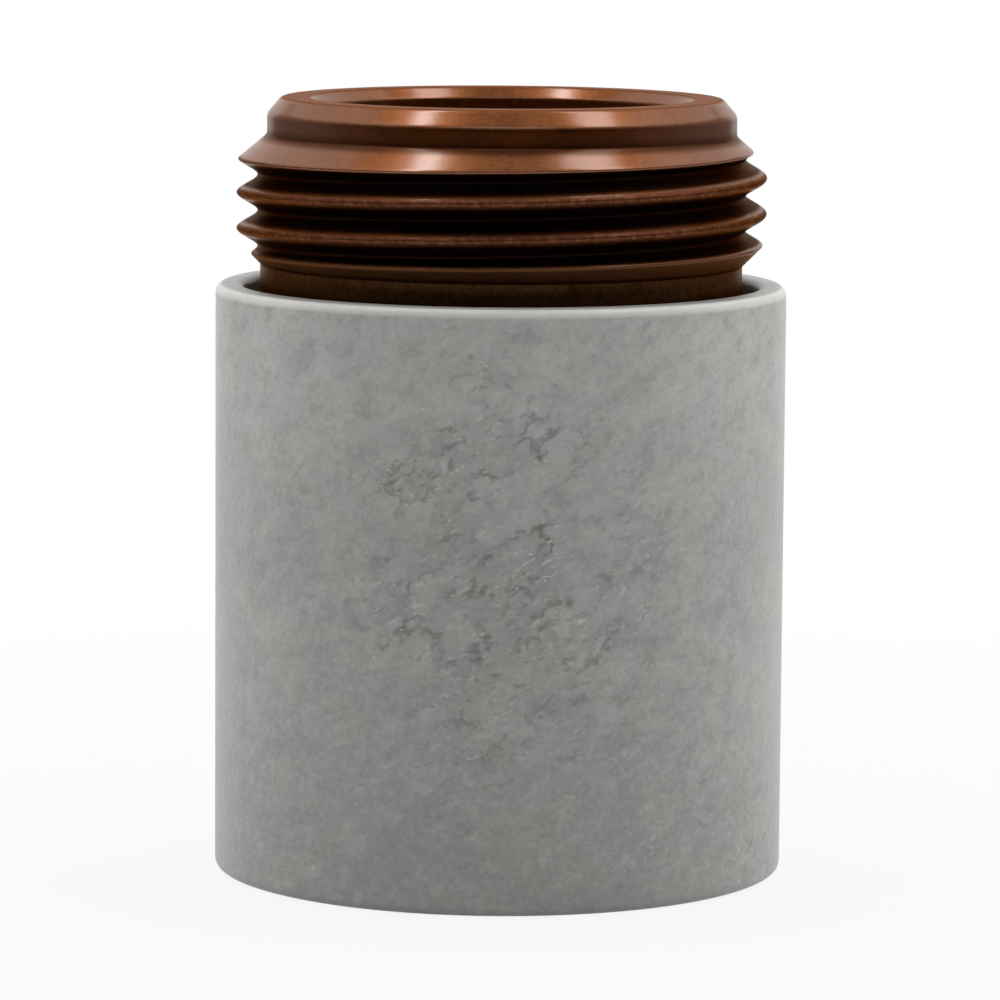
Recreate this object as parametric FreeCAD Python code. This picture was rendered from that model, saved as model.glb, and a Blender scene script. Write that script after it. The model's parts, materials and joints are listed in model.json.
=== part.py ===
import FreeCAD, Part
import math
import os

# Retaining cap of a plasma torch, in millimetres.
# The cap stands on its open rear end. The origin is the centre of that end,
# and +Z runs along the axis to the nose.
# It is two pieces: a turned copper-alloy body with an outside thread behind
# its nose, and an insulating sleeve bonded round the body's barrel.
# Radii build outwards from the thread, and heights stack up from the rear end.

# Outside thread on the body: right-hand, with sixty degree flanks
thread_major_radius = 14.85
thread_pitch = 2.0
thread_depth = 1.22
thread_crest_width = 0.3
thread_flank_angle = 60.0
thread_length = 7.2
# Height of a groove's centre over the thread's lower end, at azimuth zero
thread_phase = -0.06
# The lead-in at the nose and the run-out at the neck, from the horizontal
lead_in_angle = 40.0
run_out_angle = 45.0

# Neck below the thread
neck_undercut = 0.13
neck_length = 2.7

# Nose above the thread
nose_step = 0.5
nose_length = 2.1
nose_chamfer_height = 0.93
nose_chamfer_width = 0.8

# Insulating sleeve
mouth_gap = 0.9
mouth_gap_depth = 1.6
sleeve_wall = 1.6
sleeve_length = 33.0
sleeve_lip_height = 2.0
sleeve_lip_depth = 0.8
sleeve_top_round = 0.6
sleeve_rear_bevel = 0.4
sleeve_edge_break = 0.15
# A round this small is drawn as so many short bevels
round_bevels = 2

# Barrel of the body, inside the sleeve
bond_gap = 0.04
barrel_wall = 1.26
barrel_edge_break = 0.3

# Way through the body, from the rear
rear_thread_length = 12.0
rear_thread_depth = 0.9
entry_chamfer = 0.8
relief_width = 2.4
wall_under_thread = 2.03
seat_step = 1.4
seat_angle = 45.0
nose_bore_length = 4.0
nose_bore_chamfer = 0.6

# The thread is cut in a ring of its own, which beds this far under its root
thread_bed_depth = 0.6
# How far the cutter stands outside the crests
cutter_room = 0.12

# Radii
thread_root_radius = thread_major_radius - thread_depth
thread_bed_radius = thread_root_radius - thread_bed_depth
neck_radius = thread_root_radius - neck_undercut
nose_radius = thread_root_radius - nose_step
sleeve_bore_radius = neck_radius + mouth_gap
sleeve_outer_radius = sleeve_bore_radius + sleeve_wall
sleeve_lip_radius = sleeve_bore_radius - sleeve_lip_depth
barrel_radius = sleeve_bore_radius - bond_gap
relief_radius = barrel_radius - barrel_wall
rear_thread_radius = relief_radius - rear_thread_depth
body_bore_radius = thread_root_radius - wall_under_thread
nose_bore_radius = body_bore_radius - seat_step

# Heights
barrel_bottom = sleeve_lip_height
relief_bottom = barrel_bottom + rear_thread_length
relief_top = relief_bottom + relief_width
neck_bottom = sleeve_length - mouth_gap_depth
thread_bottom = neck_bottom + neck_length
thread_top = thread_bottom + thread_length
nose_top = thread_top + nose_length
seat_top = nose_top - nose_bore_chamfer - nose_bore_length


class Section:
    """A closed outline in the plane of radius and height, turned about the axis."""

    def __init__(self, radius, height):
        self.start = FreeCAD.Vector(radius, 0, height)
        self.here = self.start
        self.edges = []

    def line(self, radius, height):
        there = FreeCAD.Vector(radius, 0, height)
        self.edges.append(Part.LineSegment(self.here, there).toShape())
        self.here = there
        return self

    def round_off(self, radius, height, bend):
        """Round the square corner from the outside wall here to the end face."""
        centre_radius = radius - bend
        centre_height = height - bend
        for step in range(round_bevels + 1):
            turn = math.pi / 2 * step / round_bevels
            self.line(
                centre_radius + bend * math.cos(turn),
                centre_height + bend * math.sin(turn))
        return self

    def turned(self):
        self.line(self.start.x, self.start.z)
        face = Part.Face(Part.Wire(self.edges))
        return face.revolve(FreeCAD.Vector(0, 0, 0), FreeCAD.Vector(0, 0, 1), 360)


def rise(run, angle):
    """Height gained along a cone over a change of radius."""
    return run * math.tan(math.radians(angle))


def body_core():
    """The turned body without its thread, which beds between the neck and the nose."""
    core = Section(rear_thread_radius + entry_chamfer, barrel_bottom)

    # Barrel, whose shoulder is the bottom of the gap at the sleeve's mouth
    core.line(barrel_radius - barrel_edge_break, barrel_bottom)
    core.line(barrel_radius, barrel_bottom + barrel_edge_break)
    core.line(barrel_radius, neck_bottom - barrel_edge_break)
    core.line(barrel_radius - barrel_edge_break, neck_bottom)

    # Neck and thread bed
    core.line(neck_radius, neck_bottom)
    core.line(neck_radius, thread_bottom)
    core.line(thread_bed_radius, thread_bottom)
    core.line(thread_bed_radius, thread_top)

    # Nose, with its flat land between two chamfers
    core.line(nose_radius, thread_top)
    core.line(nose_radius, nose_top - nose_chamfer_height)
    core.line(nose_radius - nose_chamfer_width, nose_top)
    core.line(nose_bore_radius + nose_bore_chamfer, nose_top)
    core.line(nose_bore_radius, nose_top - nose_bore_chamfer)

    # Nozzle seat, main bore, relief and the rear threaded bore
    core.line(nose_bore_radius, seat_top)
    core.line(body_bore_radius, seat_top - rise(seat_step, seat_angle))
    core.line(body_bore_radius, relief_top)
    core.line(relief_radius, relief_top)
    core.line(relief_radius, relief_bottom)
    core.line(rear_thread_radius, relief_bottom)
    core.line(rear_thread_radius, barrel_bottom + entry_chamfer)
    return core.turned()


def thread_envelope():
    """What the thread fills: its full diameter between the run-out and lead-in cones."""
    ring = Section(thread_bed_radius, thread_bottom)
    ring.line(neck_radius, thread_bottom)
    ring.line(
        thread_major_radius,
        thread_bottom + rise(thread_major_radius - neck_radius, run_out_angle))
    ring.line(
        thread_major_radius,
        thread_top - rise(thread_major_radius - nose_radius, lead_in_angle))
    ring.line(nose_radius, thread_top)
    ring.line(thread_bed_radius, thread_top)
    return ring.turned()


def thread_cutter():
    """The groove between two ridges, swept along a right-hand helix.

    It starts one turn below the thread and ends one turn above it.
    """
    flank_slope = math.tan(math.radians(thread_flank_angle / 2))
    middle_half = (thread_pitch - thread_crest_width) / 2
    root_half = middle_half - thread_depth * flank_slope
    outer_half = middle_half + cutter_room * flank_slope
    outer_radius = thread_major_radius + cutter_room

    low_end = thread_bottom + thread_phase - thread_pitch
    corners = [
        FreeCAD.Vector(thread_root_radius, 0, low_end - root_half),
        FreeCAD.Vector(outer_radius, 0, low_end - outer_half),
        FreeCAD.Vector(outer_radius, 0, low_end + outer_half),
        FreeCAD.Vector(thread_root_radius, 0, low_end + root_half),
    ]
    groove = Part.makePolygon(corners + corners[:1])
    helix = Part.makeHelix(thread_pitch, thread_length + 2 * thread_pitch, thread_root_radius)
    helix.translate(FreeCAD.Vector(0, 0, low_end))
    return Part.Wire(helix.Edges).makePipeShell([groove], True, True)


def thread_ring():
    """The helical thread: a ring grooved from end to end, then trimmed to its two cones."""
    ring_height = thread_length + thread_pitch
    ring_foot = FreeCAD.Vector(0, 0, thread_bottom - thread_pitch / 2)
    ring = Part.makeCylinder(thread_major_radius, ring_height, ring_foot)
    ring = ring.cut(Part.makeCylinder(thread_bed_radius, ring_height, ring_foot))
    return ring.cut(thread_cutter()).common(thread_envelope())


def threaded_body():
    return body_core().fuse(thread_ring()).Solids[0]


def insulating_sleeve():
    """A tube with a rear lip that stops the barrel, and an open gap at its mouth."""
    sleeve = Section(sleeve_lip_radius + sleeve_edge_break, 0)
    sleeve.line(sleeve_outer_radius - sleeve_rear_bevel, 0)
    sleeve.line(sleeve_outer_radius, sleeve_rear_bevel)
    sleeve.round_off(sleeve_outer_radius, sleeve_length, sleeve_top_round)
    sleeve.line(sleeve_bore_radius + sleeve_edge_break, sleeve_length)
    sleeve.line(sleeve_bore_radius, sleeve_length - sleeve_edge_break)
    sleeve.line(sleeve_bore_radius, sleeve_lip_height)
    sleeve.line(sleeve_lip_radius, sleeve_lip_height)
    sleeve.line(sleeve_lip_radius, sleeve_edge_break)
    return sleeve.turned()


os.makedirs("parts", exist_ok=True)
for name, shape in (
    ("threaded_body", threaded_body()),
    ("insulating_sleeve", insulating_sleeve()),
):
    shape.exportStep("parts/" + name + ".step")
    print(name, "valid" if shape.isValid() else "not valid", round(shape.Volume, 1), "mm3")
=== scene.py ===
import json
import math

import bmesh
import bpy
import numpy as np
from mathutils import Matrix, Vector


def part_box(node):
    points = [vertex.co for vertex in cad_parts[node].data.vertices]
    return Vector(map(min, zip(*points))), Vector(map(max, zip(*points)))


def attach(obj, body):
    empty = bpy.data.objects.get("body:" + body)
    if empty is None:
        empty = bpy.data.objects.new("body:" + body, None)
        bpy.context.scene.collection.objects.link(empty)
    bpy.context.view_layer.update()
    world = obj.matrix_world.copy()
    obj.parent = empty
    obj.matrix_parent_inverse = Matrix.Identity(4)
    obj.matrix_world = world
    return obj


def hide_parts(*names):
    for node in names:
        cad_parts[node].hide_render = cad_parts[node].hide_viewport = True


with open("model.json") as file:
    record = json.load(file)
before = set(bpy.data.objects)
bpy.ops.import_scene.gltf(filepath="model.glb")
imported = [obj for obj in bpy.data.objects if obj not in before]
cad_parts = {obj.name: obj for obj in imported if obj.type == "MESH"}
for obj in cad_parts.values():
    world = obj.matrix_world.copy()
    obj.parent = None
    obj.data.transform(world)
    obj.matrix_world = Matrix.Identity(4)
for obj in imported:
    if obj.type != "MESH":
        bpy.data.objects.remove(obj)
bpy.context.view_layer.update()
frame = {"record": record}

print("frame loaded")

mm = 0.001


# Shader sockets as Python values

class Wire:
    def __init__(self, graph, socket):
        self.graph = graph
        self.socket = socket

    def math(self, operation, *others, clamp=False):
        return self.graph.node("ShaderNodeMath", {"operation": operation, "use_clamp": clamp},
                               [self, *others])

    def __add__(self, other): return self.math("ADD", other)
    def __radd__(self, other): return self.math("ADD", other)
    def __sub__(self, other): return self.math("SUBTRACT", other)
    def __rsub__(self, other):
        return self.graph.node("ShaderNodeMath", {"operation": "SUBTRACT"}, [other, self])

    def __mul__(self, other): return self.math("MULTIPLY", other)
    def __rmul__(self, other): return self.math("MULTIPLY", other)

    def clamped(self): return self.math("ADD", 0.0, clamp=True)

    # 0 below low, 1 above high, soft between
    def band(self, low, high):
        return self.graph.node("ShaderNodeMapRange", {"interpolation_type": "SMOOTHSTEP"},
                               {"Value": self, "From Min": low, "From Max": high})

    def moved(self, scale=(1, 1, 1), shift=(0, 0, 0)):
        return self.graph.node("ShaderNodeMapping", {},
                               {"Vector": self, "Scale": scale, "Location": shift})

    def plus(self, other):
        return self.graph.node("ShaderNodeVectorMath", {"operation": "ADD"}, [self, other])

    def times(self, factor):
        return self.graph.node("ShaderNodeVectorMath", {"operation": "SCALE"},
                               {"Vector": self, "Scale": factor})


class Graph:
    def __init__(self, tree):
        self.tree = tree

    # settings go on before the sockets; values are a list by place or a dictionary by name
    def node(self, kind, settings=None, values=None, out=0):
        made = self.tree.nodes.new(kind)
        for name, setting in (settings or {}).items():
            setattr(made, name, setting)
        pairs = values.items() if isinstance(values, dict) else enumerate(values or [])
        for key, given in pairs:
            socket = made.inputs[key]
            if isinstance(given, Wire):
                self.tree.links.new(given.socket, socket)
            else:
                socket.default_value = given
        return Wire(self, made.outputs[out])

    def mixColour(self, factor, first, second):
        return self.node("ShaderNodeMix", {"data_type": "RGBA"},
                         {0: factor, 6: first, 7: second}, out=2)

    def part(self, vector, place):
        return self.node("ShaderNodeSeparateXYZ", {}, [vector], out=place)

    def length(self, vector):
        return self.node("ShaderNodeVectorMath", {"operation": "LENGTH"}, [vector], out=1)

    # out 0 is its value and out 1 its colour, which serves as a vector
    def noise(self, where, scale, detail, rough, twist=0.0, out=0):
        return self.node("ShaderNodeTexNoise", {},
                         {"Vector": where, "Scale": scale, "Detail": detail,
                          "Roughness": rough, "Distortion": twist}, out=out)

    def bump(self, height, strength, distance, normal=None):
        values = {"Height": height, "Strength": strength, "Distance": distance}
        if normal is not None:
            values["Normal"] = normal
        return self.node("ShaderNodeBump", {}, values)

    def finish(self, shader):
        end = self.tree.nodes.new("ShaderNodeOutputMaterial")
        self.tree.links.new(shader.socket, end.inputs["Surface"])


def newMaterial(name):
    material = bpy.data.materials.new(name)
    material.use_nodes = True
    material.node_tree.nodes.clear()
    return material, Graph(material.node_tree)


def colour(red, green, blue):
    return (red, green, blue, 1.0)


# Sizes: the record and the solids give what the pieces fit, in mm

mounts = {mount["name"]: mount for mount in frame["record"]["mounts"]}
bodyLow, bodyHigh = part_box("threaded_body")
sleeveLow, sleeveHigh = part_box("insulating_sleeve")

sleeve = {
    "outer": sleeveHigh.x / mm - 0.01,
    "top": sleeveHigh.z / mm,
    "bore": 14.4,
    "lip": 13.6,
    "lipTop": bodyLow.z / mm,
    "topRound": 0.6,
    "mouthRound": 0.5,
    "rearRound": 0.5,
    "lipRound": 0.12,
}

body = {
    "rear": bodyLow.z / mm,
    "top": bodyHigh.z / mm,
    "barrel": 14.36,
    "barrelBevel": 0.3,
    "shoulder": 31.4,
    "neck": 13.5,
    "neckFillet": 0.25,
    "nose": mounts["nose_pilot"]["dims"]["r_mm"],
    "chamferHeight": 0.93,
    "chamferWidth": 0.8,
    "chamferEase": 0.22,
    "noseBore": mounts["nose_bore"]["dims"]["r_mm"],
    "boreChamfer": 0.6,
    "noseBoreLength": mounts["nose_bore"]["dims"]["length_mm"],
    "mainBore": 11.6,
    "relief": 13.1,
    "reliefTop": 16.4,
    "edge": 0.1,
    "lipEdge": 0.2,
}

outsideThread = {
    "crest": mounts["nose_thread"]["dims"]["r_mm"],
    "depth": 1.22,
    "pitch": 2.0,
    "crestWidth": 0.3,
    "low": 34.1,
    "high": 41.3,
    "lowRadius": body["neck"],
    "highRadius": body["nose"],
    "lowAngle": 45.0,
    "highAngle": 40.0,
    "highFillet": 0.15,
    "phase": -0.06,
    "ease": 0.16,
    "ridgeEase": 0.42,
    "rounding": (-0.6, -0.4, -0.2, 0.0, 0.2, 0.4, 0.6),
}

insideThread = {
    "crest": -mounts["rear_thread"]["dims"]["r_mm"],
    "depth": 0.8,
    "pitch": 1.5,
    "crestWidth": 0.3,
    "low": body["rear"] + 0.05,
    "high": 14.0,
    "lowRadius": -13.0,
    "highRadius": -body["relief"],
    "lowAngle": 45.0,
    "highAngle": 20.0,
    "highFillet": 0.01,
    "phase": 0.4,
    "ease": 0.1,
    "ridgeEase": 0.12,
    "rounding": (-0.5, 0.5),
}

columns = 360  # how many steps a turned piece has round the axis


# Turned surfaces

# corners are (radius, height, ease); each is rounded over its ease, and a row
# just past each round keeps the flats shading flat
def easedPath(corners, steps=4):
    points = []
    last = len(corners) - 1
    for place, (radius, height, ease) in enumerate(corners):
        if ease == 0 or place in (0, last):
            points.append((radius, height))
            continue
        corner = Vector((radius, height))
        ways = []
        for neighbour in (corners[place - 1], corners[place + 1]):
            way = Vector(neighbour[:2]) - corner
            reach = min(ease, way.length * 0.4)
            way = way.normalized() * reach
            ways.append((corner + way, corner + way * 1.2))
        (start, startHold), (end, endHold) = ways
        points.append(tuple(startHold))
        for step in range(steps + 1):
            t = step / steps
            points.append(tuple(start * (1 - t) ** 2 + corner * 2 * t * (1 - t) + end * t ** 2))
        points.append(tuple(endHold))
    return points


# A helical thread as rows of (radius, height) for every column. An inside thread
# has negative radii, so its crests are still the largest. Rows follow the flanks
# and crests round the helix, and the ends of its two cones at their fixed heights.
def threadRows(thread, angles):
    flankRun = math.tan(math.radians(30))
    crest, pitch, ease = thread["crest"], thread["pitch"], thread["ease"]
    root = crest - thread["depth"]
    lowSlope = 1 / math.tan(math.radians(thread["lowAngle"]))
    highSlope = 1 / math.tan(math.radians(thread["highAngle"]))
    foot = thread["low"] + thread["phase"] + pitch / 2
    fillet = thread["highFillet"]

    def envelope(z):
        rising = thread["lowRadius"] + np.clip(z - thread["low"], 0, None) * lowSlope
        fall = np.clip(thread["high"] - z, -fillet, None)
        fall = np.where(fall < fillet, (fall + fillet) ** 2 / (4 * fillet), fall)
        falling = thread["highRadius"] + fall * highSlope
        return np.minimum(np.minimum(rising, falling), crest)

    def ridgeAt(z, turn):
        off = np.mod(z - foot - pitch * turn + pitch / 2, pitch) - pitch / 2
        ridge = crest - np.clip(np.abs(off) - thread["crestWidth"] / 2, 0, None) / flankRun
        return np.maximum(ridge, root)

    # the mean over a short height rounds every corner
    def eased(profile, z, width, steps=10):
        return np.mean([profile(z + width * ((step + 0.5) / steps - 0.5))
                        for step in range(steps)], axis=0)

    def surface(z, turn):
        return np.minimum(eased(lambda h: ridgeAt(h, turn), z, thread["ridgeEase"]), envelope(z))

    # where a flank meets the crest or a cone, by halving between its two ends
    def meeting(inner, outer, flank):
        for _ in range(24):
            middle = (inner + outer) / 2
            above = flank(middle) > envelope(middle)
            outer = np.where(above, middle, outer)
            inner = np.where(above, inner, middle)
        return (inner + outer) / 2

    turn = np.asarray(angles) / (2 * math.pi)
    half = thread["crestWidth"] / 2
    reach = half + thread["depth"] * flankRun
    ridges = range(-2, int((thread["high"] - thread["low"]) / pitch) + 2)
    parts = thread["rounding"]
    heights = []
    for ridge in ridges:
        centre = foot + pitch * (turn + ridge)
        below, above = centre - reach, centre + reach
        first = meeting(below, centre - half, lambda z: root + (z - below) / flankRun)
        second = meeting(above, centre + half, lambda z: root + (above - z) / flankRun)
        for corner in (below, first, second, above):
            heights += [corner + thread["ridgeEase"] * part for part in parts]
    perRidge = len(heights) // len(ridges)

    bottom, top = thread["low"] - ease / 2, thread["high"] + fillet + ease / 2
    lowFull = thread["low"] + (crest - thread["lowRadius"]) / lowSlope
    highFull = thread["high"] - (crest - thread["highRadius"]) / highSlope
    for corner in (thread["low"], lowFull, highFull,
                   thread["high"] - fillet, thread["high"] + fillet):
        heights += [np.full_like(turn, corner + ease * part) for part in (-0.5, -0.2, 0.2, 0.5)]
    heights += [np.full_like(turn, thread["high"] + fillet * part) for part in (-0.5, 0.0, 0.5)]
    z = np.sort(np.clip(np.stack(heights, axis=1), bottom, top), axis=1)

    radius = eased(lambda h: surface(h, turn[:, None]), z, ease)
    return np.abs(radius), z, perRidge


# the closed outline is a list of stretches, each of eased points or a thread
def turnedMesh(name, stretches):
    angles = [2 * math.pi * column / columns for column in range(columns)]
    radii, heights, seamShift = [], [], []
    for stretch in stretches:
        if isinstance(stretch, dict):
            radius, z, perRidge = threadRows(stretch, angles)
            shift = np.full(radius.shape[1], perRidge)
            if stretch["crest"] < 0:
                radius, z, shift = radius[:, ::-1], z[:, ::-1], -shift
        else:
            radius = np.tile([point[0] for point in stretch], (columns, 1))
            z = np.tile([point[1] for point in stretch], (columns, 1))
            shift = np.zeros(len(stretch), int)
        start = sum(part.shape[1] for part in radii)
        end = start + radius.shape[1] - 1
        seamShift += [(start, end, int(step)) for step in shift]
        radii.append(radius)
        heights.append(z)
    radius, z = np.hstack(radii), np.hstack(heights)
    rows = radius.shape[1]
    turn = np.array(angles)[:, None]
    grid = np.stack([radius * np.cos(turn), radius * np.sin(turn), z], axis=2) * mm

    # past the seam a helical row goes on as the one a full ridge along
    nextRow = [min(max(row + step, start), end)
               for row, (start, end, step) in enumerate(seamShift)]
    faces = []
    for column in range(columns):
        onward = (column + 1) % columns
        for row in range(rows):
            after = (row + 1) % rows
            near, far = (row, after) if onward else (nextRow[row], nextRow[after])
            faces.append((column * rows + row, onward * rows + near,
                          onward * rows + far, column * rows + after))
    mesh = bpy.data.meshes.new(name)
    mesh.from_pydata(grid.reshape(-1, 3).tolist(), [], faces)
    tidy = bmesh.new()
    tidy.from_mesh(mesh)
    bmesh.ops.remove_doubles(tidy, verts=tidy.verts, dist=0.002 * mm)
    bmesh.ops.dissolve_degenerate(tidy, edges=tidy.edges, dist=0.001 * mm)
    bmesh.ops.recalc_face_normals(tidy, faces=tidy.faces)
    tidy.to_mesh(mesh)
    tidy.free()
    mesh.polygons.foreach_set("use_smooth", [True] * len(mesh.polygons))
    piece = bpy.data.objects.new(name, mesh)
    bpy.context.scene.collection.objects.link(piece)
    return piece


def makeBody():
    low = outsideThread["low"] - outsideThread["ease"] / 2
    high = outsideThread["high"] + outsideThread["highFillet"] + outsideThread["ease"] / 2
    boreTop = insideThread["high"] + insideThread["highFillet"] + insideThread["ease"] / 2
    edge, bevel = body["edge"], body["barrelBevel"]
    seat = body["top"] - body["boreChamfer"] - body["noseBoreLength"]
    barrel = easedPath([
        (13.0, body["rear"], 0),
        (body["barrel"] - bevel, body["rear"], edge),
        (body["barrel"], body["rear"] + bevel, edge),
        (body["barrel"], body["shoulder"] - bevel, edge),
        (body["barrel"] - bevel, body["shoulder"], edge),
        (body["neck"], body["shoulder"], body["neckFillet"]),
        (body["neck"], low, 0),
    ])
    nose = easedPath([
        (body["nose"], high, 0),
        (body["nose"], body["top"] - body["chamferHeight"], body["chamferEase"]),
        (body["nose"] - body["chamferWidth"], body["top"], body["lipEdge"]),
        (body["noseBore"] + body["boreChamfer"], body["top"], edge),
        (body["noseBore"], body["top"] - body["boreChamfer"], edge),
        (body["noseBore"], seat, edge),
        (body["mainBore"], seat - body["mainBore"] + body["noseBore"], edge),
        (body["mainBore"], body["reliefTop"], edge),
        (body["relief"], body["reliefTop"], edge),
        (body["relief"], boreTop, 0),
    ])
    return turnedMesh("bodyTurned", [barrel, outsideThread, nose, insideThread])


def makeSleeve():
    lip = sleeve["lipRound"]
    wall = easedPath([
        (sleeve["lip"] + 0.5, 0.0, 0),
        (sleeve["outer"], 0.0, sleeve["rearRound"]),
        (sleeve["outer"], sleeve["top"], sleeve["topRound"]),
        (sleeve["bore"], sleeve["top"], sleeve["mouthRound"]),
        (sleeve["bore"], sleeve["lipTop"], lip),
        (sleeve["lip"], sleeve["lipTop"], lip),
        (sleeve["lip"], 0.0, lip),
        (sleeve["lip"] + 0.5, 0.0, 0),
    ], steps=6)
    return turnedMesh("sleeveMoulded", [wall[:-1]])


bodyPiece = makeBody()
sleevePiece = makeSleeve()
print("pieces made:", len(bodyPiece.data.polygons), "and", len(sleevePiece.data.polygons), "faces")


# Finishes, in mm. A noise is its scale, detail, roughness and twist, an edge is
# where a mask is none and where it is full, and a share is how much of it shows

bodyFinish = {
    "bright": colour(0.24, 0.075, 0.016),
    "dull": colour(0.178, 0.048, 0.007),
    "brown": colour(0.085, 0.016, 0.002),
    "crest": colour(0.1, 0.035, 0.018),
    "crestWorn": colour(0.185, 0.067, 0.031),
    "oxide": colour(0.02, 0.008, 0.004),
    "neck": colour(0.055, 0.019, 0.003),
    "neckWorn": colour(0.085, 0.033, 0.009),
    "runOut": colour(0.22, 0.09, 0.036),
    "glance": colour(0.62, 0.46, 0.36),
    "lines": (9.0, 3.0, 0.6),
    "grain": (4.5, 4.0, 0.65),
    "clouds": (0.35, 4.0, 0.6, 0.4),
    "speckle": (2.8, 4.0, 0.65),
    "wornEdge": (0.38, 0.62),
    "crestEdge": (14.5, 14.75),
    "crestWander": 0.3,
    "crestWornEdge": (0.42, 0.62),
    "outsideEdge": (12.7, 12.8),
    "pilotFoot": (41.1, 41.35),
    "pilotTop": (42.3, 42.5),
    "pilotShare": 0.6,
    "grooveDepth": (0.15, 0.55),
    "cornerFoot": (40.85, 41.2),
    "cornerTop": (41.25, 41.9),
    "cornerShare": 0.6,
    "landFoot": (43.25, 43.39),
    "landShare": 0.7,
    "neckTop": (34.9, 35.4),
    "neckWornEdge": (0.35, 0.6),
    "runOutFoot": (34.1, 34.35),
    "runOutShare": 0.7,
    "insideTop": (42.6, 42.8),
    "roughness": 0.4,
    "lineBump": (0.25, 0.00002),
    "grainBump": (0.3, 0.00003),
    "polishShare": 0.52,
    "polishRoughness": 0.17,
    "polishIor": 1.9,
}

sleeveFinish = {
    "cool": colour(0.308, 0.323, 0.31),
    "warm": colour(0.342, 0.343, 0.32),
    "pale": colour(0.42, 0.422, 0.402),
    "rubbed": colour(0.56, 0.56, 0.54),
    "rim": colour(0.56, 0.557, 0.535),
    "top": colour(0.25, 0.25, 0.24),
    "shade": colour(0.2, 0.208, 0.195),
    "vein": colour(0.1, 0.106, 0.092),
    "fleck": colour(0.62, 0.62, 0.56),
    "clouds": (0.22, 4.0, 0.6, 0.6),
    "cloudEdge": (0.35, 0.65),
    "paleFoot": (18.0, 30.0),
    "paleShare": 0.7,
    "shadeTop": (0.0, 15.0),
    "shadeShare": 0.3,
    # each mottle is its noise, the edges of its dark and pale spots, and their shares
    "blotches": ((0.65, 2.0, 0.75), (0.32, 0.5), (0.5, 0.68), 0.3, 0.17),
    "grain": ((2.8, 2.0, 0.6), (0.34, 0.5), (0.5, 0.68), 0.18, 0.11),
    # a lean is its turn for each mm of rise, its squeeze along the axis, and its shift
    "blotchLean": (0.02, 1.2, 3),
    "clumpLean": (0.05, 1.2, 47),
    "islandLean": (0.055, 1.35, 11),
    "streakLean": (0.09, 1.0, 41),
    "pitLean": (0.02, 1.4, 31),
    "crumbLean": (0.02, 1.25, 71),
    "fleckLean": (0.07, 1.4, 9),
    "crossingLean": (-0.06, 1.5, 57),
    "frontScale": (0.11, 0.11, 0.085),
    "frontShift": (0, 1.76, -1.6),
    "frontEdge": (0.45, 1.35),
    "elsewhere": (0.08, 1.0, 0.4),
    "elsewhereEdge": (0.5, 0.66),
    "elsewhereShare": 0.35,
    "clumps": (0.17, 1.0, 0.5),
    "clumpEdge": (0.4, 0.6),
    "clumpFloor": 0.3,
    "warp": (1.0, 3.0, 0.55),
    "islandWarp": 1.7,
    "islands": (0.3, 2.5, 0.5),
    "broken": (0.8, 2.0, 0.55),
    "brokenEdge": (0.47, 0.62),
    # each of these three is where its band of an island's edge comes in and goes out
    "hollowBand": ((0.3, 0.47), (0.47, 0.6)),
    "hollowShare": 0.17,
    "creaseBand": ((0.44, 0.485), (0.49, 0.53)),
    "creaseShare": 0.43,
    "raisedBand": ((0.5, 0.56), (0.58, 0.7)),
    "raisedShare": 0.08,
    "streakWarp": 0.9,
    "streaks": (1.0, 2.0, 0.6),
    "streakEdge": (0.62, 0.76),
    "streakShare": 0.4,
    # these shares are outside the rough places, and how much those add
    "pits": (1.2, 2.0, 0.6),
    "pitEdge": (0.58, 0.74),
    "pitShares": (0.1, 0.35),
    "crumbs": (1.5, 2.0, 0.6),
    "crumbEdge": (0.58, 0.72),
    "crumbShares": (0.06, 0.22),
    "flecks": (2.6, 1.0, 0.5),
    "fleckEdge": (0.68, 0.8),
    "crossing": (2.3, 1.0, 0.5),
    "crossingEdge": (0.69, 0.81),
    "fleckShares": (0.2, 0.35),
    "topFoot": (32.85, 32.97),
    "topShare": 0.8,
    "rimFoot": (32.4, 32.6),
    "rimTop": (32.9, 32.99),
    "rimEdge": (15.3, 15.5),
    "roughness": 0.38,
    "bump": (0.45, 0.00008),
}


def millimetres(graph):
    return graph.node("ShaderNodeTexCoord", out=3).moved((1 / mm, 1 / mm, 1 / mm))


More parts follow.
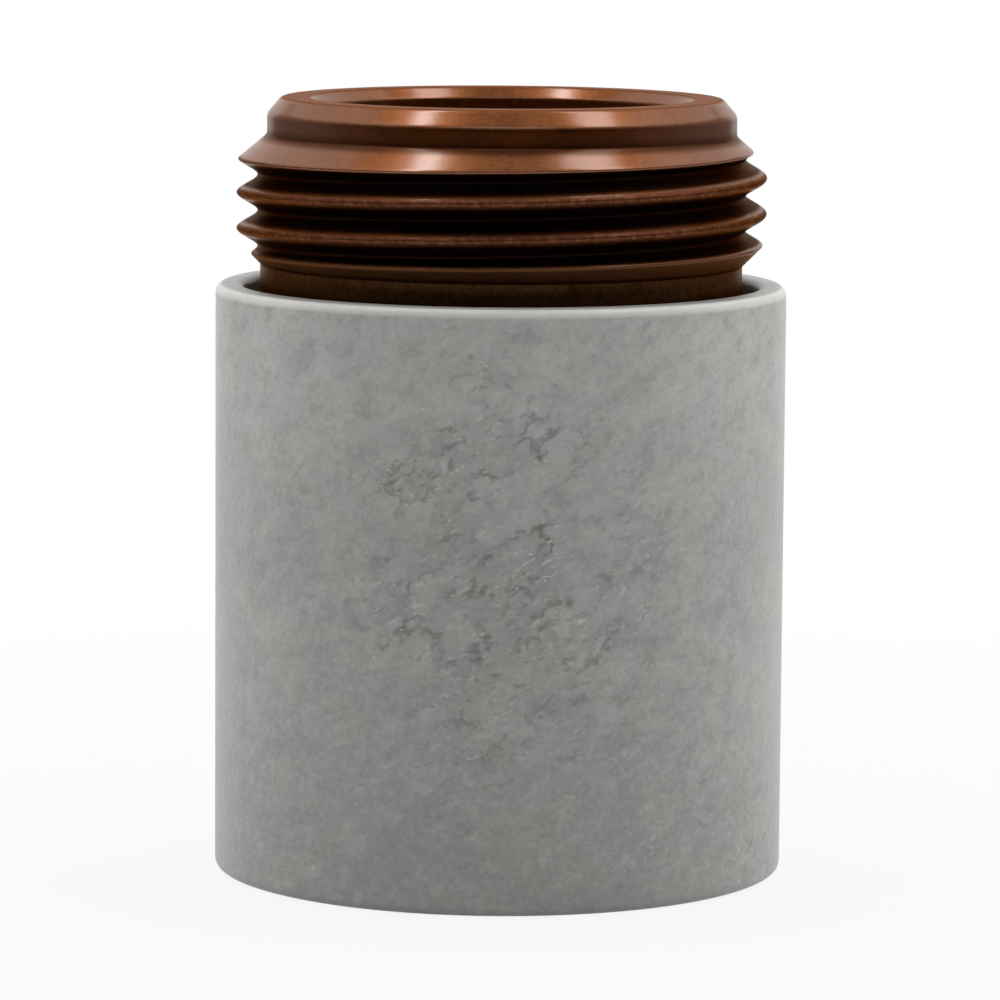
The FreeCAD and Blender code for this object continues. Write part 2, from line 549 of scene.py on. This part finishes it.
def bodyMaterial():
    material, graph = newMaterial("turnedCopperAlloy")
    finish, thread = bodyFinish, outsideThread
    where = millimetres(graph)
    height = graph.part(where, 2)
    radius = graph.length(where.moved((1, 1, 0)))
    ring = graph.node("ShaderNodeCombineXYZ", {}, [radius, height, 0.0])
    lines = graph.noise(ring, *finish["lines"])
    grain = graph.noise(where, *finish["grain"])
    clouds = graph.noise(where, *finish["clouds"])
    worn = clouds * 0.5 + grain * 0.5
    tint = graph.mixColour(worn.band(*finish["wornEdge"]), finish["dull"], finish["bright"])
    # the crests are rough and duller
    speckle = graph.noise(where, *finish["speckle"])
    crest = (radius + (speckle - 0.5) * finish["crestWander"]).band(*finish["crestEdge"])
    tint = graph.mixColour(crest, tint, finish["crest"])
    tint = graph.mixColour(crest * speckle.band(*finish["crestWornEdge"]),
                           tint, finish["crestWorn"])
    # how deep it lies under the thread's two cones and its crests
    lowSlope = 1 / math.tan(math.radians(thread["lowAngle"]))
    highSlope = 1 / math.tan(math.radians(thread["highAngle"]))
    rising = (height - thread["low"]) * lowSlope + body["neck"]
    falling = (thread["high"] - height) * highSlope + body["nose"]
    envelope = rising.math("MINIMUM", falling).math("MINIMUM", thread["crest"])
    # painted shade darkens the pilot cylinder and, near black, the grooves and the corner
    # over the thread; the neck is darker, and the run-out is painted lighter as painted light
    outside = radius.band(*finish["outsideEdge"])
    # painted shade: the pilot cylinder is mixed to a darker brown
    pilot = height.band(*finish["pilotFoot"]) * (1 - height.band(*finish["pilotTop"])) * outside
    tint = graph.mixColour(pilot * finish["pilotShare"], tint, finish["brown"])
    # painted shade: the grooves and the corner over the thread go to a near black
    grooved = (envelope - radius).band(*finish["grooveDepth"]) * outside
    corner = height.band(*finish["cornerFoot"]) * (1 - height.band(*finish["cornerTop"])) * outside
    oxide = grooved.math("MAXIMUM", corner * finish["cornerShare"])
    tint = graph.mixColour(oxide, tint, finish["oxide"])
    land = height.band(*finish["landFoot"])
    tint = graph.mixColour(land * finish["landShare"], tint, finish["dull"])
    # the neck is darker with lighter specks; the run-out above it is painted lighter, a painted
    # light where it gets less light
    neck = (1 - height.band(*finish["neckTop"])) * (1 - grooved) * outside
    runOut = neck * height.band(*finish["runOutFoot"])
    tint = graph.mixColour(neck, tint, finish["neck"])
    tint = graph.mixColour(neck * speckle.band(*finish["neckWornEdge"]), tint, finish["neckWorn"])
    tint = graph.mixColour(runOut * finish["runOutShare"], tint, finish["runOut"])
    rough = finish["roughness"] + (clouds - 0.5) * 0.2 + (lines - 0.5) * 0.12
    rough = rough + (grain - 0.5) * 0.25 + crest * 0.12 + grooved * 0.04 + land * 0.12
    rough = rough + runOut * 0.15
    normal = graph.bump(lines, *finish["lineBump"])
    relief = grain * (0.4 + crest * 1.5 - neck * 0.3)
    normal = graph.bump(relief, *finish["grainBump"], normal)
    # its chamfers and the lead-in cone are polished by use
    inside = (1 - outside) * (1 - height.band(*finish["insideTop"]))
    polish = (1 - grooved) * (1 - crest) * (1 - pilot * 0.3) * (1 - corner * 0.7)
    polish = polish * (1 - land * 0.85) * (1 - neck * 0.9) * (1 - inside * 0.8)
    shader = graph.node("ShaderNodeBsdfPrincipled", {}, {
        "Base Color": tint, "Metallic": 1.0, "Roughness": rough.clamped(), "Normal": normal,
        "Coat Weight": polish * finish["polishShare"], "Coat Roughness": finish["polishRoughness"],
        "Coat IOR": finish["polishIor"], "Specular Tint": finish["glance"]})
    graph.finish(shader)
    return material


def sleeveMaterial():
    material, graph = newMaterial("glassFilledMoulding")
    finish = sleeveFinish
    where = millimetres(graph)
    height = graph.part(where, 2)
    radius = graph.length(where.moved((1, 1, 0)))

    # turned about the axis as it rises, so that what is drawn out along it leans
    def leaning(rate, squeeze, shift):
        turned = graph.node("ShaderNodeVectorRotate", {"rotation_type": "Z_AXIS"},
                            {"Vector": where, "Angle": height * -rate})
        return turned.moved((1, 1, squeeze), (shift, 0, 0))

    def mottled(tint, noise, darkEdge, paleEdge, darkShare, paleShare):
        tint = graph.mixColour((1 - noise.band(*darkEdge)) * darkShare, tint, finish["shade"])
        return graph.mixColour(noise.band(*paleEdge) * paleShare, tint, finish["rubbed"])

    clouds = graph.noise(where, *finish["clouds"])
    tint = graph.mixColour(clouds.band(*finish["cloudEdge"]), finish["cool"], finish["warm"])
    # painted light makes it paler towards its mouth and painted shade darker towards its foot
    tint = graph.mixColour(height.band(*finish["paleFoot"]) * finish["paleShare"],
                           tint, finish["pale"])
    tint = graph.mixColour((1 - height.band(*finish["shadeTop"])) * finish["shadeShare"],
                           tint, finish["shade"])
    # the mix of resin and filler shows as soft blotches of every size
    blotches = graph.noise(leaning(*finish["blotchLean"]), *finish["blotches"][0])
    tint = mottled(tint, blotches, *finish["blotches"][1:])
    tint = mottled(tint, graph.noise(where, *finish["grain"][0]), *finish["grain"][1:])
    # the flow has left rough places, most of them on one side
    middle = graph.length(where.moved(finish["frontScale"], finish["frontShift"]))
    front = 1 - middle.band(*finish["frontEdge"])
    elsewhere = graph.noise(where, *finish["elsewhere"]).band(*finish["elsewhereEdge"])
    patch = front.math("MAXIMUM", elsewhere * finish["elsewhereShare"])
    clumps = graph.noise(leaning(*finish["clumpLean"]), *finish["clumps"])
    patch = patch * (finish["clumpFloor"] + clumps.band(*finish["clumpEdge"]))
    # pale islands in them have hollows and creases along their edges; the dark in the hollows and
    # creases is painted shade, and the pale on their raised side is partly their own paler resin
    # and partly a painted highlight
    warp = graph.noise(where, *finish["warp"], out=1)
    islandWay = leaning(*finish["islandLean"]).plus(warp.times(finish["islandWarp"]))
    islands = graph.noise(islandWay, *finish["islands"])
    broken = graph.noise(where, *finish["broken"]).band(*finish["brokenEdge"]) * patch

    def between(bands):
        comesIn, goesOut = bands
        return islands.band(*comesIn) * (1 - islands.band(*goesOut))

    hollow = between(finish["hollowBand"]) * patch
    tint = graph.mixColour(hollow * finish["hollowShare"], tint, finish["shade"])
    crease = between(finish["creaseBand"]) * broken
    tint = graph.mixColour(crease * finish["creaseShare"], tint, finish["vein"])
    raised = between(finish["raisedBand"]) * patch
    tint = graph.mixColour(raised * finish["raisedShare"], tint, finish["rubbed"])
    streakWay = leaning(*finish["streakLean"]).plus(warp.times(finish["streakWarp"]))
    streaks = graph.noise(streakWay, *finish["streaks"]).band(*finish["streakEdge"]) * patch
    tint = graph.mixColour(streaks * finish["streakShare"], tint, finish["fleck"])

    def scattered(tint, spots, shares, shade):
        plain, added = shares
        return graph.mixColour(spots * (plain + patch * added), tint, shade)

    # the pits are darkened with painted shade
    pits = graph.noise(leaning(*finish["pitLean"]), *finish["pits"]).band(*finish["pitEdge"])
    tint = scattered(tint, pits, finish["pitShares"], finish["vein"])
    crumbs = graph.noise(leaning(*finish["crumbLean"]), *finish["crumbs"])
    crumbs = crumbs.band(*finish["crumbEdge"])
    tint = scattered(tint, crumbs, finish["crumbShares"], finish["rubbed"])
    # ends of the fibres lie two ways
    flecks = graph.noise(leaning(*finish["fleckLean"]), *finish["flecks"])
    crossing = graph.noise(leaning(*finish["crossingLean"]), *finish["crossing"])
    flecks = flecks.band(*finish["fleckEdge"])
    flecks = flecks.math("MAXIMUM", crossing.band(*finish["crossingEdge"]))
    tint = scattered(tint, flecks, finish["fleckShares"], finish["fleck"])
    # its flat top is painted a darker grey, a painted shade under the lamps above, and the round
    # beside it is painted pale, a painted highlight
    tint = graph.mixColour(height.band(*finish["topFoot"]) * finish["topShare"],
                           tint, finish["top"])
    rim = height.band(*finish["rimFoot"]) * (1 - height.band(*finish["rimTop"]))
    rim = rim * radius.band(*finish["rimEdge"])
    tint = graph.mixColour(rim * (0.45 + clouds * 0.5), tint, finish["rim"])
    rough = finish["roughness"] + (blotches - 0.5) * 0.25
    relief = blotches * 0.4 - crease - pits * 0.4 + crumbs * 0.3 + flecks * 0.3
    relief = relief + raised * 0.5 + streaks * 0.8
    shader = graph.node("ShaderNodeBsdfPrincipled", {}, {
        "Base Color": tint, "Roughness": rough.clamped(),
        "Normal": graph.bump(relief, *finish["bump"])})
    graph.finish(shader)
    return material


bodyPiece.data.materials.append(bodyMaterial())
sleevePiece.data.materials.append(sleeveMaterial())
for piece, node, slot in ((bodyPiece, "threaded_body", "copper_alloy"),
                          (sleevePiece, "insulating_sleeve", "insulator")):
    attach(piece, "root")
    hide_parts(node)
print("finishes made")


# Studio: a white room, brighter behind the part than before it, two long lamps
# overhead and a soft one in front, and a white floor. A dark screen and a grey
# ceiling show only in reflections. Here lengths are in metres.

studio = {
    "roomFront": 0.38,
    "roomBack": 2.55,
    "roomTowards": (0.08, 0.997, 0),
    "roomEdge": (-0.7, 0.7),
    "lampReach": 0.5,
    "lampAim": 0.038,
    "lamps": {
        "lampLeft": {"towards": (-0.367, -0.04, 0.93), "width": 0.05, "length": 0.4,
                     "slant": 28, "energy": 0.65},
        "lampRight": {"towards": (0.45, -0.04, 0.9), "width": 0.11, "length": 0.4,
                      "slant": -32, "energy": 0.63},
        "lampFront": {"towards": (0.0, -0.75, 0.66), "width": 0.4, "length": 0.25,
                      "slant": 0, "energy": 0.15},
    },
    "floorRadius": 0.16,
    "floorHeight": -0.00003,
    "floorGrey": colour(0.4, 0.4, 0.4),
    "floorKeeps": 0.12,
    "floorFade": (0.03, 0.12),
    "screenRadius": 0.42,
    "screenLow": -0.35,
    "screenFrontHigh": 0.42,
    "screenBackHigh": 0.19,
    "screenHalfAngle": 150,
    "screenFront": colour(0.015, 0.015, 0.015),
    "screenSides": colour(0.38, 0.38, 0.38),
    "ceilingGrey": colour(0.25, 0.25, 0.25),
    "ceilingCorners": [(-0.45, -0.5, 0.7), (0.45, -0.5, 0.7), (0.45, 0.3, 0.7), (-0.45, 0.3, 0.7)],
}

# The camera, fitted to the photograph: its place in mm, its turns in radians
view = {
    "place": (-0.10, -320.96, 61.48),
    "yaw": 0.0004,
    "pitch": 0.1263,
    "roll": 0.0072,
    "lens": 206.71,
    "sensor": 36,
}


def makeCamera():
    yaw, pitch, roll = view["yaw"], view["pitch"], view["roll"]
    ahead = Vector((math.sin(yaw) * math.cos(pitch), math.cos(yaw) * math.cos(pitch),
                    -math.sin(pitch)))
    side = Vector((math.cos(yaw), -math.sin(yaw), 0))
    up = side.cross(ahead)
    across = side * math.cos(roll) + up * math.sin(roll)
    upright = up * math.cos(roll) - side * math.sin(roll)
    data = bpy.data.cameras.new("photoView")
    data.lens = view["lens"]
    data.sensor_width = view["sensor"]
    camera = bpy.data.objects.new("photoView", data)
    place = Vector(view["place"]) * mm
    camera.matrix_world = Matrix((
        (across.x, upright.x, -ahead.x, place.x),
        (across.y, upright.y, -ahead.y, place.y),
        (across.z, upright.z, -ahead.z, place.z),
        (0, 0, 0, 1)))
    bpy.context.scene.collection.objects.link(camera)
    bpy.context.scene.camera = camera


def makeLamp(name, towards, width, length, slant, energy):
    data = bpy.data.lights.new(name, "AREA")
    data.shape = "RECTANGLE"
    data.size, data.size_y = width, length
    data.energy = energy
    lamp = bpy.data.objects.new(name, data)
    back = Vector(towards).normalized()
    lamp.location = Vector((0, 0, studio["lampAim"])) + back * studio["lampReach"]
    lamp.visible_camera = False
    # its length lies along Y, turned by its slant, and it looks at the thread
    along = (Vector((0, 1, 0)) - back * back.y).normalized()
    along = Matrix.Rotation(math.radians(-slant), 3, back) @ along
    lamp.rotation_euler = Matrix((along.cross(back), along, back)).transposed().to_euler()
    bpy.context.scene.collection.objects.link(lamp)


def stagePiece(name, points, faces, material):
    mesh = bpy.data.meshes.new(name)
    mesh.from_pydata(points, [], faces)
    mesh.materials.append(material)
    piece = bpy.data.objects.new(name, mesh)
    bpy.context.scene.collection.objects.link(piece)
    return piece


def shownWhite(graph, ordinary, white, share):
    seen = graph.node("ShaderNodeLightPath", out="Is Camera Ray")
    for ray in ("Is Glossy Ray", "Is Transmission Ray"):
        seen = seen + graph.node("ShaderNodeLightPath", out=ray)
    return graph.node("ShaderNodeMixShader", {}, [seen.clamped() * share, ordinary, white])


def makeFloor():
    material, graph = newMaterial("floorWhite")
    paper = graph.node("ShaderNodeBsdfDiffuse", {}, {"Color": studio["floorGrey"]})
    white = graph.node("ShaderNodeEmission", {}, {"Color": colour(1, 1, 1), "Strength": 1.0})
    # its shadow fades out to the plain background
    where = graph.node("ShaderNodeTexCoord", out=3)
    shadow = (1 - graph.length(where).band(*studio["floorFade"])) * studio["floorKeeps"]
    graph.finish(shownWhite(graph, paper, white, 1 - shadow))
    steps = 64
    turns = [2 * math.pi * step / steps for step in range(steps)]
    rim = [(math.cos(turn) * studio["floorRadius"], math.sin(turn) * studio["floorRadius"],
            studio["floorHeight"]) for turn in turns]
    stagePiece("floor", rim, [tuple(range(steps))], material)


def onlyInGloss(piece):
    piece.visible_camera = False
    piece.visible_diffuse = False
    piece.visible_shadow = False


def makeScreen():
    material, graph = newMaterial("screenDark")
    radius, low = studio["screenRadius"], studio["screenLow"]
    depth = graph.part(graph.node("ShaderNodeTexCoord", out=3), 1)
    shade = graph.mixColour(depth.band(-0.8 * radius, 0.5 * radius),
                            studio["screenFront"], studio["screenSides"])
    graph.finish(graph.node("ShaderNodeEmission", {}, {"Color": shade, "Strength": 1.0}))
    steps = 48
    points = []
    for step in range(steps + 1):
        turn = math.radians(-90 + studio["screenHalfAngle"] * (2 * step / steps - 1))
        x, y = math.cos(turn) * radius, math.sin(turn) * radius
        lift = (1 - y / radius) / 2
        top = studio["screenBackHigh"] * (1 - lift) + studio["screenFrontHigh"] * lift
        points += [(x, y, low), (x, y, top)]
    faces = [(2 * step, 2 * step + 2, 2 * step + 3, 2 * step + 1) for step in range(steps)]
    onlyInGloss(stagePiece("screen", points, faces, material))


def makeCeiling():
    material, graph = newMaterial("ceilingGrey")
    graph.finish(graph.node("ShaderNodeEmission", {},
                            {"Color": studio["ceilingGrey"], "Strength": 1.0}))
    onlyInGloss(stagePiece("ceiling", studio["ceilingCorners"], [(0, 1, 2, 3)], material))


def makeRoom():
    world = bpy.data.worlds.new("whiteRoom")
    bpy.context.scene.world = world
    world.use_nodes = True
    world.node_tree.nodes.clear()
    graph = Graph(world.node_tree)
    # more light comes from behind and from the right than from the camera's side
    towards = graph.node("ShaderNodeVectorMath", {"operation": "DOT_PRODUCT"},
                         [graph.node("ShaderNodeTexCoord", out=0), studio["roomTowards"]], out=1)
    behind = towards.band(*studio["roomEdge"])
    front, back, white = [
        graph.node("ShaderNodeBackground", {}, {"Color": colour(1, 1, 1), "Strength": strength})
        for strength in (studio["roomFront"], studio["roomBack"], 1.0)]
    room = graph.node("ShaderNodeMixShader", {}, [behind, front, back])
    end = world.node_tree.nodes.new("ShaderNodeOutputWorld")
    world.node_tree.links.new(shownWhite(graph, room, white, 1.0).socket, end.inputs["Surface"])


makeCamera()
for name, lamp in studio["lamps"].items():
    makeLamp(name, **lamp)
makeFloor()
makeScreen()
makeCeiling()
makeRoom()
bpy.context.scene.view_settings.view_transform = "Standard"
print("studio made")
